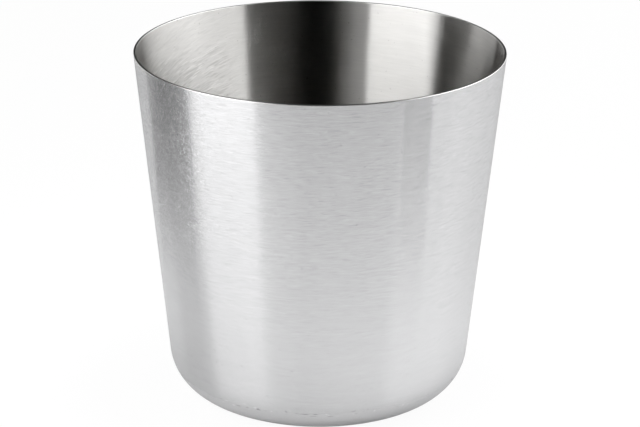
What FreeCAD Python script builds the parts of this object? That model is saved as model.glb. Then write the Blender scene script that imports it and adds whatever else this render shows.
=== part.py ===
"""Deep drawn stainless steel serving cup, in millimetres.

The cup is one piece of sheet, drawn over a tapered punch and trimmed level at the
mouth.  Its section follows the sheet from the axis outwards: a base panel set up a
little, a narrow ring that the cup stands on, a wide bottom corner and a straight
leaning wall.  The origin is the centre of the standing ring and +Z points up.
"""
import FreeCAD, Part
import math
import os

# Driving dimensions, in millimetres and degrees
MOUTH_DIAMETER = 86.0   # outside of the wall at the rim, before the rim's edges are broken
CUP_HEIGHT = 83.0       # from the standing ring to the rim
DRAFT_ANGLE = 5.85      # how far the wall leans out from upright
SHEET = 0.6             # thickness of the drawn sheet
CORNER_RADIUS = 10.8    # outside of the bottom corner
RIM_BREAK = 0.15        # radius on both edges of the trimmed rim
RING_WIDTH = 3.0        # flat ring that the cup stands on
PANEL_LIFT = 0.6        # height of the base panel above that ring
PANEL_BEND = 6.0        # underside radius of the two bends that lift the panel

TOLERANCE = 1e-4
CENTRE = FreeCAD.Vector(0, 0, 0)
AXIS = FreeCAD.Vector(0, 0, 1)
DRAFT = math.radians(DRAFT_ANGLE)


def point(radius, height):
    """A point of the section, which is drawn in the XZ plane."""
    return FreeCAD.Vector(radius, 0, height)


def wall_radius(height):
    """Outside radius of the straight wall at a height."""
    return MOUTH_DIAMETER / 2 - (CUP_HEIGHT - height) * math.tan(DRAFT)


def bend(centre, radius, start, end):
    """A bend of the sheet as an arc; its angles are radians from +X towards +Z."""
    def on_arc(angle):
        return centre + point(radius * math.cos(angle), radius * math.sin(angle))
    return Part.Arc(on_arc(start), on_arc((start + end) / 2), on_arc(end)).toShape()


def bends(depth):
    """The three bends on a side of the sheet that lies depth in from the outside."""
    corner_x = wall_radius(CORNER_RADIUS) - CORNER_RADIUS / math.cos(DRAFT)
    ring_x = corner_x - RING_WIDTH
    turn = math.acos(1 - PANEL_LIFT / (2 * PANEL_BEND))
    panel_x = ring_x - 2 * PANEL_BEND * math.sin(turn)
    quarter = math.pi / 2
    panel = bend(point(panel_x, PANEL_LIFT - PANEL_BEND), PANEL_BEND + depth,
                 quarter, quarter - turn)
    ring = bend(point(ring_x, PANEL_BEND), PANEL_BEND - depth, -quarter - turn, -quarter)
    corner = bend(point(corner_x, CORNER_RADIUS), CORNER_RADIUS - depth, -quarter, -DRAFT)
    return [panel, ring, corner]


def sheet_side(depth):
    """Edges of one side of the sheet in order, from the axis to the rim."""
    edges = []
    here = point(0, PANEL_LIFT + depth)
    for arc in bends(depth):
        start = arc.valueAt(arc.FirstParameter)
        if not here.isEqual(start, TOLERANCE):
            edges.append(Part.makeLine(here, start))
        edges.append(arc)
        here = arc.valueAt(arc.LastParameter)
    rim = point(wall_radius(CUP_HEIGHT) - depth / math.cos(DRAFT), CUP_HEIGHT)
    edges.append(Part.makeLine(here, rim))
    return edges


def section():
    """The closed section of the sheet, with its last edge on the axis."""
    outside = sheet_side(0)
    inside = sheet_side(SHEET)
    land = Part.makeLine(outside[-1].Vertexes[-1].Point, inside[-1].Vertexes[-1].Point)
    middle = Part.makeLine(point(0, PANEL_LIFT), point(0, PANEL_LIFT + SHEET))
    ring = Part.sortEdges(outside + inside + [land, middle])[0]
    return Part.Face(Part.Wire(ring))


def at_rim(edge):
    """Whether an edge is one of the two circles of the trimmed rim."""
    box = edge.BoundBox
    return box.ZLength < TOLERANCE and abs(box.ZMax - CUP_HEIGHT) < TOLERANCE


def cup():
    """The drawn and trimmed cup, with both edges of its rim broken."""
    drawn = section().revolve(CENTRE, AXIS, 360)
    return drawn.makeFillet(RIM_BREAK, [edge for edge in drawn.Edges if at_rim(edge)])


os.makedirs("parts", exist_ok=True)
shape = cup()
shape.exportStep("parts/cup.step")
print("cup: volume %.1f mm3, valid %s, closed %s" % (shape.Volume, shape.isValid(), shape.isClosed()))
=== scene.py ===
"""Brushed steel serving cup on a white sweep, in metres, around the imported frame."""

import math

import bpy
import numpy as np
from mathutils import Matrix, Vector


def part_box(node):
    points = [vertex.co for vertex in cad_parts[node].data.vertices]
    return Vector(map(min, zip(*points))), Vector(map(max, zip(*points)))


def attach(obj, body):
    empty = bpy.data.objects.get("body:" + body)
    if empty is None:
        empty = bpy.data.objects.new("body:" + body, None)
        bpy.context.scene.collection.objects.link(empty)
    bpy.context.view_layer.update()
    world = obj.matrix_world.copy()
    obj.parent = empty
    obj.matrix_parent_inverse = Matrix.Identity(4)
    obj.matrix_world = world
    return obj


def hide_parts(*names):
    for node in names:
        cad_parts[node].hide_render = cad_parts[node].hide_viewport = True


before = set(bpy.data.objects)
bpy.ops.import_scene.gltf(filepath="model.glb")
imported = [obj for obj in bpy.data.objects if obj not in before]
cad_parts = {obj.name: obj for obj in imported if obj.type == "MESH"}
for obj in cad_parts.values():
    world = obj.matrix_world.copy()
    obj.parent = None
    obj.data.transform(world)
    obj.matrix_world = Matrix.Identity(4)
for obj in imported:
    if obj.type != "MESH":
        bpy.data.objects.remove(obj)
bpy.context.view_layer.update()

MM = 0.001

# The cup is one piece of stainless sheet, drawn over a tapered punch and trimmed
# level at the mouth.  Its visible mesh is the same turned section as the solid's,
# carried round finely enough that the outline and the highlights stay smooth.

low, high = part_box("cup")
reach = (high[0] - low[0]) / 2      # widest point, on the broken edge of the rim
rim_height = high[2]
sheet = 0.6 * MM
draft = math.radians(5.85)          # lean of the wall from upright
corner_radius = 10.8 * MM           # outside of the bottom corner
rim_break = 0.15 * MM               # both edges of the trimmed rim
ring_width = 3.0 * MM               # flat ring that the cup stands on
panel_lift = 0.6 * MM               # base panel above that ring
panel_bend = 6.0 * MM               # underside radius of the bends that lift it
around = 512                        # divisions round the axis


def arc(centre, radius, start, end, count):
    """Arc of the section: centre plus radius times (cos, sin) of evenly spaced angles."""
    angle = np.linspace(start, end, count)
    return np.stack([centre[0] + radius * np.cos(angle), centre[1] + radius * np.sin(angle)], axis=1)


def run(start, end, count):
    """Straight run between two points, its steps shrinking as a cosine towards both ends."""
    share = (1 - np.cos(np.linspace(0, np.pi, count + 2)))[1:-1, None] / 2
    return np.asarray(start) * (1 - share) + np.asarray(end) * share


def sheet_side(depth):
    """One side of the sheet, depth in from the outside: axis, panel, ring, corner, wall foot."""
    wall_x = reach - rim_break + rim_break / math.cos(draft)
    wall_x -= (rim_height - rim_break - corner_radius) * math.tan(draft)
    corner_x = wall_x - corner_radius / math.cos(draft)
    ring_x = corner_x - ring_width
    turn = math.acos(1 - panel_lift / (2 * panel_bend))
    panel_x = ring_x - 2 * panel_bend * math.sin(turn)
    quarter = math.pi / 2
    panel = arc((panel_x, panel_lift - panel_bend), panel_bend + depth, quarter, quarter - turn, 9)
    ring = arc((ring_x, panel_bend), panel_bend - depth, -quarter - turn, -quarter, 9)[1:]
    corner = arc((corner_x, corner_radius), corner_radius - depth, -quarter, -draft, 21)
    middle = np.array([[0.0, panel_lift + depth]])
    return [middle, run(middle[0], panel[0], 6), panel, ring, run(ring[-1], corner[0], 4), corner]


def rim_arcs():
    """The two broken edges of the rim: arcs tangent to a wall and to the level land."""
    centre_z = rim_height - rim_break
    outer_x = reach - rim_break
    land = sheet / math.cos(draft) - rim_break / math.cos(draft) * 2
    quarter = math.pi / 2
    outer = arc((outer_x, centre_z), rim_break, -draft, quarter, 9)
    inner = arc((outer_x - land, centre_z), rim_break, quarter, math.pi - draft, 9)
    return outer, inner


def cup_section():
    """The closed section, from the middle of the underside round the rim to the floor inside."""
    outside = sheet_side(0)
    inside = sheet_side(sheet)
    outer, inner = rim_arcs()
    parts = outside + [run(outside[-1][-1], outer[0], 30), outer, run(outer[-1], inner[0], 2)]
    parts += [inner, run(inner[-1], inside[-1][-1], 30)]
    parts += [part[::-1] for part in reversed(inside)]
    return np.concatenate(parts)


def turned(name, section, count):
    """Mesh of a section carried round Z: (r cos a, r sin a, z), with a pole at each end.

    Its map 'sheet' holds the share of a turn in U and of the section's length in V.
    """
    rows = section[1:-1]
    angle = np.arange(count) * (2 * np.pi / count)
    ring = np.stack([np.cos(angle), np.sin(angle)], axis=1)
    points = np.empty((len(rows), count, 3))
    points[:, :, :2] = rows[:, None, :1] * ring
    points[:, :, 2] = rows[:, None, 1]
    poles = [[0, 0, section[0, 1]], [0, 0, section[-1, 1]]]
    vertices = np.concatenate([points.reshape(-1, 3), poles])
    step = np.linalg.norm(np.diff(section, axis=0), axis=1)
    along = np.concatenate([[0], np.cumsum(step)]) / step.sum()

    row, col = np.meshgrid(np.arange(len(rows) - 1), np.arange(count), indexing="ij")
    after = (col + 1) % count
    quads = np.stack([row * count + col, row * count + after,
                      (row + 1) * count + after, (row + 1) * count + col], axis=-1).reshape(-1, 4)
    share = (np.stack([col, col + 1, col + 1, col], axis=-1) / count).reshape(-1, 4)
    height = along[1:-1][np.stack([row, row, row + 1, row + 1], axis=-1)].reshape(-1, 4)
    here = np.arange(count)
    last = (len(rows) - 1) * count
    first_fan = np.stack([np.full(count, len(vertices) - 2), (here + 1) % count, here], axis=1)
    last_fan = np.stack([np.full(count, len(vertices) - 1), last + here, last + (here + 1) % count], axis=1)

    mesh = bpy.data.meshes.new(name)
    mesh.from_pydata(vertices.tolist(), [], quads.tolist() + first_fan.tolist() + last_fan.tolist())
    fan_u = [np.stack([here + 0.5, here + 1, here], axis=1), np.stack([here + 0.5, here, here + 1], axis=1)]
    fan_v = [np.tile([0, along[1], along[1]], (count, 1)), np.tile([1, along[-2], along[-2]], (count, 1))]
    flat_u = np.concatenate([share.ravel()] + [part.ravel() / count for part in fan_u])
    flat_v = np.concatenate([height.ravel()] + [part.ravel() for part in fan_v])
    mesh.uv_layers.new(name="sheet").uv.foreach_set("vector", np.stack([flat_u, flat_v], axis=1).ravel())
    mesh.polygons.foreach_set("use_smooth", [True] * len(mesh.polygons))
    mesh.validate()
    thing = bpy.data.objects.new(name, mesh)
    bpy.context.scene.collection.objects.link(thing)
    return thing


cup = turned("cup_sheet", cup_section(), around)
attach(cup, "root")
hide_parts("cup")


# ---- The finishes of the cup: brushed outside, deburred at the rim, brushed inside.
# Brushing is level scratches, which stretch every reflection up and down the wall.


def linear(hex_colour):
    """Linear RGBA of an sRGB hex colour."""
    srgb = np.array([int(hex_colour[i:i + 2], 16) for i in (1, 3, 5)]) / 255
    low_part = srgb / 12.92
    high_part = ((srgb + 0.055) / 1.055) ** 2.4
    return (*np.where(srgb <= 0.04045, low_part, high_part).tolist(), 1.0)


def node(tree, kind, settings=None, links=None):
    """A node with its properties or socket values set, and its inputs linked from sockets."""
    made = tree.nodes.new(kind)
    for key, value in (settings or {}).items():
        if isinstance(key, str) and hasattr(made, key):
            setattr(made, key, value)
        else:
            made.inputs[key].default_value = value
    for key, source in (links or {}).items():
        tree.links.new(source, made.inputs[key])
    return made


def material(name):
    """An empty node material, with its tree and its output node."""
    made = bpy.data.materials.new(name)
    made.use_nodes = True
    made.node_tree.nodes.clear()
    return made, made.node_tree, made.node_tree.nodes.new("ShaderNodeOutputMaterial")


def grain(tree, place, length, width, tilt=(0, 0, 0), detail=1.0, warp=0.0):
    """Noise drawn out to a length round the cup and a width up it, in metres, tilted in degrees."""
    spread = node(tree, "ShaderNodeMapping",
                  {"vector_type": "TEXTURE", "Scale": (length, length, width),
                   "Rotation": tuple(math.radians(turn) for turn in tilt)}, {"Vector": place})
    noise = node(tree, "ShaderNodeTexNoise",
                 {"Scale": 1.0, "Detail": detail, "Roughness": 0.6, "Distortion": warp},
                 {"Vector": spread.outputs["Vector"]})
    return noise.outputs["Fac"]


def marks(tree, pattern, start, end, zone=None):
    """Marks that grow smoothly while a pattern goes from start to end, kept to a zone if given."""
    grown = node(tree, "ShaderNodeMapRange",
                 {"interpolation_type": "SMOOTHSTEP", "From Min": start, "From Max": end},
                 {"Value": pattern}).outputs["Result"]
    if zone is None:
        return grown
    return node(tree, "ShaderNodeMath", {"operation": "MULTIPLY"}, {0: grown, 1: zone}).outputs[0]


def centred(tree, pattern, zone):
    """A noise moved down to swing about zero, and faded outside a zone."""
    swing = node(tree, "ShaderNodeMath", {"operation": "SUBTRACT", 1: 0.5}, {0: pattern}).outputs[0]
    return node(tree, "ShaderNodeMath", {"operation": "MULTIPLY"}, {0: swing, 1: zone}).outputs[0]


def hairlines(tree, place, size, width, zone):
    """Curly hairlines: the lines where a warped noise of one grain size passes its middle."""
    curl = grain(tree, place, size, size, warp=1.5)
    off = node(tree, "ShaderNodeMath", {"operation": "SUBTRACT", 1: 0.5}, {0: curl}).outputs[0]
    off = node(tree, "ShaderNodeMath", {"operation": "ABSOLUTE"}, {0: off}).outputs[0]
    return marks(tree, off, 0.22 * width / size, 0.0, zone)


def layered(tree, start, layers):
    """A starting value plus each layer times its amount."""
    total = None
    for value, amount in layers:
        step = node(tree, "ShaderNodeMath", {"operation": "MULTIPLY_ADD", 1: amount, 2: start}, {0: value})
        if total is not None:
            tree.links.new(total, step.inputs[2])
        total = step.outputs[0]
    return total


def metal(tree, out, colour, roughness, anisotropy, tones, heights):
    """Metal of a colour scaled by tones, with heights in mm, stretched across the run of the sheet."""
    shade = node(tree, "ShaderNodeVectorMath", {"operation": "SCALE", 0: linear(colour)[:3]},
                 {"Scale": tones})
    relief = node(tree, "ShaderNodeBump", {"Strength": 1.0, "Distance": MM}, {"Height": heights})
    tangent = node(tree, "ShaderNodeTangent", {"direction_type": "UV_MAP", "uv_map": "sheet"})
    shine = node(tree, "ShaderNodeBsdfAnisotropic", {"Roughness": roughness, "Anisotropy": anisotropy},
                 {"Color": shade.outputs[0], "Normal": relief.outputs["Normal"],
                  "Tangent": tangent.outputs["Tangent"]})
    tree.links.new(shine.outputs["BSDF"], out.inputs["Surface"])
    return shine


# Outside, stainless steel, AISI 304, brushed with a fine belt while the cup turns.  It
# gives the eye level scratches and upright bands of light, and a plainer, smoother band
# below a ragged edge, where the belt did not reach round the corner.
steel, tree, out = material("stainless_steel_brushed_outside")
place = node(tree, "ShaderNodeTexCoord").outputs["Object"]
split = node(tree, "ShaderNodeSeparateXYZ", None, {"Vector": place})
across, height = split.outputs["X"], split.outputs["Z"]

ragged = 1.1 * MM                   # how far the edge of the brushing strays either way
edge = layered(tree, -ragged, [(grain(tree, place, 7 * MM, 7 * MM, detail=2.0), 2 * ragged), (height, 1.0)])
brushed = marks(tree, edge, 6.2 * MM, 6.8 * MM)
seam = marks(tree, edge, 5.5 * MM, 6.3 * MM, marks(tree, edge, 7.6 * MM, 6.8 * MM))

# The strokes are plainest on the upper half, and the upper left is scuffed by stacking.
worn = layered(tree, 0.45, [(marks(tree, height, 14 * MM, 56 * MM), 0.75)])
worn = node(tree, "ShaderNodeMath", {"operation": "MULTIPLY"}, {0: worn, 1: brushed}).outputs[0]
upper = marks(tree, height, 30 * MM, 50 * MM)
left = marks(tree, across, -21 * MM, -28 * MM, upper)
patch = marks(tree, grain(tree, place, 11 * MM, 9 * MM), 0.52, 0.66, upper)
scuffed = layered(tree, 0.0, [(left, 1.0), (patch, 0.4)])

# Real scratches are about 0.02 mm wide.  These are up to ten times coarser, so that they
# still show at the size the cup is seen.
streak = centred(tree, grain(tree, place, 3.4 * MM, 0.28 * MM), worn)
passes = grain(tree, place, 14 * MM, 0.6 * MM, tilt=(0, 2, 0))
dash = marks(tree, grain(tree, place, 2.4 * MM, 0.22 * MM, tilt=(0, -3, 0), detail=0.0), 0.64, 0.74, worn)
glint = marks(tree, grain(tree, place, 2.0 * MM, 0.22 * MM, tilt=(0, 3, 0), detail=0.0), 0.66, 0.76, worn)
hairline_and_glint = hairlines(tree, place, 2.3 * MM, 0.18 * MM, scuffed)
fine_hairline_and_glint = hairlines(tree, place, 1.3 * MM, 0.15 * MM, scuffed)
fuzz = centred(tree, grain(tree, place, 0.42 * MM, 0.42 * MM), scuffed)
waves = grain(tree, place, 4 * MM, 7 * MM)
pit = marks(tree, grain(tree, place, 0.5 * MM, 0.5 * MM, detail=0.0), 0.80, 0.86)
nick = marks(tree, grain(tree, place, 1.3 * MM, 0.3 * MM, detail=0.0), 0.70, 0.76, seam)
spark = marks(tree, grain(tree, place, 0.9 * MM, 0.5 * MM, detail=0.0), 0.72, 0.78, seam)
# Painted highlights: glint and spark are bright flecks put into the steel's colour, and the hairlines are
# lightened in it as well as cut in as real grooves.
tones = layered(tree, 0.965, [(streak, 0.17), (passes, 0.06), (dash, -0.07), (glint, 0.05), (pit, -0.25),
                              (hairline_and_glint, 0.16), (fine_hairline_and_glint, 0.10), (fuzz, 0.42), (nick, -0.35), (spark, 0.30)])
heights = layered(tree, 0.0, [(streak, 0.006), (dash, -0.004), (hairline_and_glint, -0.008), (fine_hairline_and_glint, -0.005),
                              (fuzz, 0.010), (waves, 0.012), (brushed, 0.004)])
shine = metal(tree, out, "#CACACB", 0.25, 0.72, tones, heights)
tree.links.new(layered(tree, 0.14, [(brushed, 0.11)]), shine.inputs["Roughness"])
cup.data.materials.append(steel)

# Rim, the same steel, trimmed and deburred by hand: a thin line that gives the eye small
# soft lights, with no run of its own.
steel, tree, out = material("stainless_steel_deburred_rim")
place = node(tree, "ShaderNodeTexCoord").outputs["Object"]
burnish = grain(tree, place, 1.5 * MM, 1.0 * MM)
tones = layered(tree, 0.95, [(burnish, 0.10)])
heights = layered(tree, 0.0, [(burnish, 0.01)])
metal(tree, out, "#C9C9C8", 0.30, 0.0, tones, heights)
cup.data.materials.append(steel)

# Inside, the same steel, brushed less evenly.  It gives the eye deep upright bands, and
# sloping strokes low on the left, where a hand tool swept upward along the wall.
steel, tree, out = material("stainless_steel_brushed_inside")
place = node(tree, "ShaderNodeTexCoord").outputs["Object"]
split = node(tree, "ShaderNodeSeparateXYZ", None, {"Vector": place})
deep = marks(tree, split.outputs["Z"], 77 * MM, 70 * MM)
swept = marks(tree, split.outputs["X"], -17 * MM, -26 * MM, layered(tree, 0.3, [(deep, 0.7)]))
streak = grain(tree, place, 4 * MM, 0.28 * MM)
passes = grain(tree, place, 10 * MM, 0.7 * MM)
sweep = grain(tree, place, 5.0 * MM, 0.5 * MM, tilt=(10, -10, 0), warp=0.6)
stroke = marks(tree, sweep, 0.50, 0.66, swept)
drag = grain(tree, place, 4.0 * MM, 0.42 * MM, tilt=(12, -12, 0), warp=0.6)
groove = marks(tree, drag, 0.50, 0.64, swept)
patch = marks(tree, grain(tree, place, 9 * MM, 7 * MM), 0.50, 0.66)
hairline_and_glint = hairlines(tree, place, 3.0 * MM, 0.14 * MM, patch)
waves = grain(tree, place, 4 * MM, 7 * MM)
pit = marks(tree, grain(tree, place, 0.5 * MM, 0.5 * MM, detail=0.0), 0.80, 0.86)
# Painted highlight: the hairlines are a little lighter in colour, besides their grooves.
tones = layered(tree, 0.90, [(streak, 0.10), (passes, 0.10), (stroke, 0.16), (groove, -0.16),
                             (swept, -0.08), (pit, -0.25), (hairline_and_glint, 0.04)])
heights = layered(tree, 0.0, [(streak, 0.006), (stroke, 0.02), (groove, -0.01), (hairline_and_glint, -0.008),
                              (waves, 0.010)])
metal(tree, out, "#CAC9C7", 0.33, 0.82, tones, heights)
cup.data.materials.append(steel)

# Each row of faces takes the finish of the part of the section that it was turned from.
outside_slot, rim_slot, inside_slot = 0, 1, 2
section = cup_section()
rim_start = rim_height - rim_break - 0.01 * MM
top = int(np.argmax(section[:, 1]))
finish = np.where(np.arange(len(section)) < top, outside_slot, inside_slot)
finish[section[:, 1] > rim_start] = rim_slot
below, above = finish[1:-2], finish[2:-1]
upper_slot = np.where(above == inside_slot, inside_slot, rim_slot)
row_slot = np.where(below == outside_slot, outside_slot, upper_slot)
face_slot = np.repeat(row_slot, around).tolist()
face_slot += [outside_slot] * around + [inside_slot] * around
cup.data.polygons.foreach_set("material_index", face_slot)

# ---- Soft panels round the cup, outside the view: curved frames of white cloth lit from
# behind.  They give the wall its bright upright bands.


def surface(name, grid):
    """Mesh of a grid of points, one quad between each four neighbours, with the grid as its map."""
    rows, cols = grid.shape[:2]
    row, col = np.meshgrid(np.arange(rows - 1), np.arange(cols - 1), indexing="ij")
    corner = row * cols + col
    quads = np.stack([corner, corner + 1, corner + cols + 1, corner + cols], axis=-1).reshape(-1, 4)
    mesh = bpy.data.meshes.new(name)
    mesh.from_pydata(grid.reshape(-1, 3).tolist(), [], quads.tolist())
    share = np.stack([quads % cols / (cols - 1), quads // cols / (rows - 1)], axis=-1)
    mesh.uv_layers.new(name="face").uv.foreach_set("vector", share.ravel())
    thing = bpy.data.objects.new(name, mesh)
    bpy.context.scene.collection.objects.link(thing)
    return thing


def lit_panel(name, outline, distance, low, high, feather):
    """Curved panel round the cup, glowing from low at its foot to high at its top.

    Each point is one distance from the axis, at its bearing from the front towards +X.  It
    is above the cup's middle by that distance times the tangent of its elevation.  The
    outline holds rows of elevation and of the bearings of both sides, in degrees, and the
    two shares of feather soften its sides.
    """
    outline = np.array(outline, float)
    up = np.linspace(0, 1, 17)[:, None]
    along = np.linspace(0, 1, 13)[None, :]
    rise = outline[0, 0] + (outline[-1, 0] - outline[0, 0]) * up
    one = np.interp(rise, outline[:, 0], outline[:, 1])
    other = np.interp(rise, outline[:, 0], outline[:, 2])
    bearing = np.radians(one + (other - one) * along)
    middle, clearance = 0.05, 0.002
    climb = np.maximum(distance * np.tan(np.radians(rise)) + middle, clearance) + 0 * along
    panel = surface(name, np.stack([distance * np.sin(bearing), -distance * np.cos(bearing), climb], axis=-1))
    panel.visible_camera = False
    cloth, tree, out = material(name)
    share = node(tree, "ShaderNodeSeparateXYZ", None, {0: node(tree, "ShaderNodeTexCoord").outputs["UV"]})
    end = marks(tree, share.outputs["X"], 1.0, 1.0 - feather[1])
    if feather[0]:
        end = marks(tree, share.outputs["X"], 0.0, feather[0], end)
    power = layered(tree, low, [(share.outputs["Y"], high - low)])
    power = node(tree, "ShaderNodeMath", {"operation": "MULTIPLY"}, {0: end, 1: power}).outputs[0]
    glow = node(tree, "ShaderNodeEmission", {"Color": linear("#FFFFFF")}, {"Strength": power})
    tree.links.new(glow.outputs[0], out.inputs["Surface"])
    panel.data.materials.append(cloth)


lit_panel("left", ((-5, -76, -36), (20, -84, -33.5), (35, -97, -34.5), (52, -118, -40)),
          0.26, 1.65, 7.0, (0.10, 0.03))
lit_panel("shoulder", ((14, -34, -18.5), (46, -38, -20.5)), 0.5, 1.0, 1.0, (0.0, 0.4))
lit_panel("right", ((12, 84, 155), (17, 52, 155), (35, 53, 155), (52, 62, 150)),
          0.6, 2.2, 6.2, (0.03, 0.05))
lit_panel("back_left", ((1, -150, -110), (18, -150, -110)), 0.8, 2.2, 2.2, (0.1, 0.2))

# ---- Black cloth hung round and over the stage, with its hem at a different height all
# round.  It gives the dark bands, and only reflections see it.  Each point is one radius
# from the floor's middle, at an elevation shared evenly from the hem to straight above.

hem_bearing = [-180, -172, -164, -142, -137, -38, -34, -16, -12, 84, 90, 104, 110, 160, 175, 180]
hem_rise = [0, 0, 9, 9, 0, 0, 6, 6, 0, 0, 10, 12, 12, 12, 0, 0]
bearing = np.linspace(-180, 180, 181)
hem = np.interp(bearing, hem_bearing, hem_rise)[None, :]
rise = np.radians(hem + (90 - hem) * np.linspace(0, 1, 19)[:, None])
bearing = np.radians(bearing)[None, :]
tent_radius = 2.5
grid = tent_radius * np.stack([np.cos(rise) * np.sin(bearing), -np.cos(rise) * np.cos(bearing),
                               np.sin(rise)], axis=-1)
tent = surface("dark_tent", grid)
cloth, tree, out = material("dark_cloth")
glow = node(tree, "ShaderNodeEmission", {"Strength": 0.0})
tree.links.new(glow.outputs[0], out.inputs["Surface"])
tent.data.materials.append(cloth)

# ---- Painted shade: two glowing grey sheets flat on the floor, to the left and to
# the right front, dimmer than the floor round them.  They darken the low reflections
# there, and only reflections see them.  Each is the part of a ring between two bearings
# from the front.

hidden = [tent]
shade_sheet_near, shade_sheet_far, shade_sheet_height = (0.14, 0.145), 1.0, 0.5 * MM
for number, (start, end, level) in enumerate(((-127, -82, 0.34), (49, 68, 0.56))):
    bearing = np.radians(np.linspace(start, end, 13))[None, :]
    radius = np.array([shade_sheet_near[number], shade_sheet_far])[:, None]
    flat = shade_sheet_height + 0 * radius * bearing
    grid = np.stack([radius * np.sin(bearing), -radius * np.cos(bearing), flat], axis=-1)
    shade_sheet = surface("floor_shade_sheet_%d" % number, grid)
    painted_shade, tree, out = material("painted_floor_shade_%d" % number)
    glow = node(tree, "ShaderNodeEmission", {"Color": linear("#FFFFFF"), "Strength": level})
    tree.links.new(glow.outputs[0], out.inputs["Surface"])
    shade_sheet.data.materials.append(painted_shade)
    hidden.append(shade_sheet)
for thing in hidden:
    thing.visible_camera = False
    thing.visible_diffuse = False
    thing.visible_shadow = False
    thing.visible_transmission = False

# ---- The floor, smooth white board.  The camera sees it nearly white with a trace of the
# cup's shadow, and the metal sees it a little darker.

floor_radius, floor_drop = 8.0, 0.02 * MM
radius = np.linspace(0, 1, 2)[:, None] * floor_radius
angle = np.linspace(0, 2 * np.pi, 97)[None, :]
grid = np.stack([radius * np.cos(angle), radius * np.sin(angle), 0 * radius * angle - floor_drop], axis=-1)
floor = surface("floor", grid)
board, tree, out = material("white_floor")
matte = node(tree, "ShaderNodeBsdfDiffuse", {"Color": linear("#E6E6E6")})
glow = node(tree, "ShaderNodeEmission", {"Color": linear("#FFFFFF"), "Strength": 1.0})
ray = node(tree, "ShaderNodeLightPath").outputs
plain = layered(tree, 0.0, [(ray["Is Camera Ray"], 0.95), (ray["Is Glossy Ray"], 0.25),
                            (ray["Is Transmission Ray"], 0.95)])
blend = node(tree, "ShaderNodeMixShader", None, {0: plain, 1: matte.outputs[0], 2: glow.outputs[0]})
tree.links.new(blend.outputs[0], out.inputs["Surface"])
floor.data.materials.append(board)

# ---- A small lamp with a honeycomb hangs straight above and lights the floor round the
# cup.  Reflections do not see it.

lamp = bpy.data.lights.new("top_light", "AREA")
lamp.shape = "DISK"
lamp.size = 0.08
lamp.spread = math.radians(60)
lamp.energy = 0.088
top_light = bpy.data.objects.new("top_light", lamp)
bpy.context.scene.collection.objects.link(top_light)
top_light.location = (0.02, 0.0, 0.32)
top_light.visible_glossy = False

# ---- White walls far off: soft fill light, and the white behind the cup.

world = bpy.data.worlds.new("studio")
bpy.context.scene.world = world
world.use_nodes = True
tree = world.node_tree
ray = node(tree, "ShaderNodeLightPath").outputs
strength = layered(tree, 0.0, [(ray["Is Diffuse Ray"], 0.30), (ray["Is Camera Ray"], 1.0),
                               (ray["Is Glossy Ray"], 1.25), (ray["Is Transmission Ray"], 1.0)])
background = tree.nodes["Background"]
background.inputs["Color"].default_value = linear("#FFFFFF")
tree.links.new(strength, background.inputs["Strength"])
bpy.context.scene.view_settings.view_transform = "Standard"

# ---- The camera looks down a little on the mouth, from the length of an arm away, through
# a long lens, so that the wall narrows only a little towards the floor.

camera = bpy.data.objects.new("camera", bpy.data.cameras.new("camera"))
bpy.context.scene.collection.objects.link(camera)
camera.data.sensor_width = 36
camera.data.lens = 140.6
camera.data.clip_start = 0.01
camera.data.clip_end = 100
pitch_down = math.radians(20.04)
roll = math.radians(0.35)
camera.matrix_world = (Matrix.Translation((0.0002, -0.5541, 0.2448))
                       @ Matrix.Rotation(math.pi / 2 - pitch_down, 4, "X")
                       @ Matrix.Rotation(roll, 4, "Z"))
bpy.context.scene.camera = camera
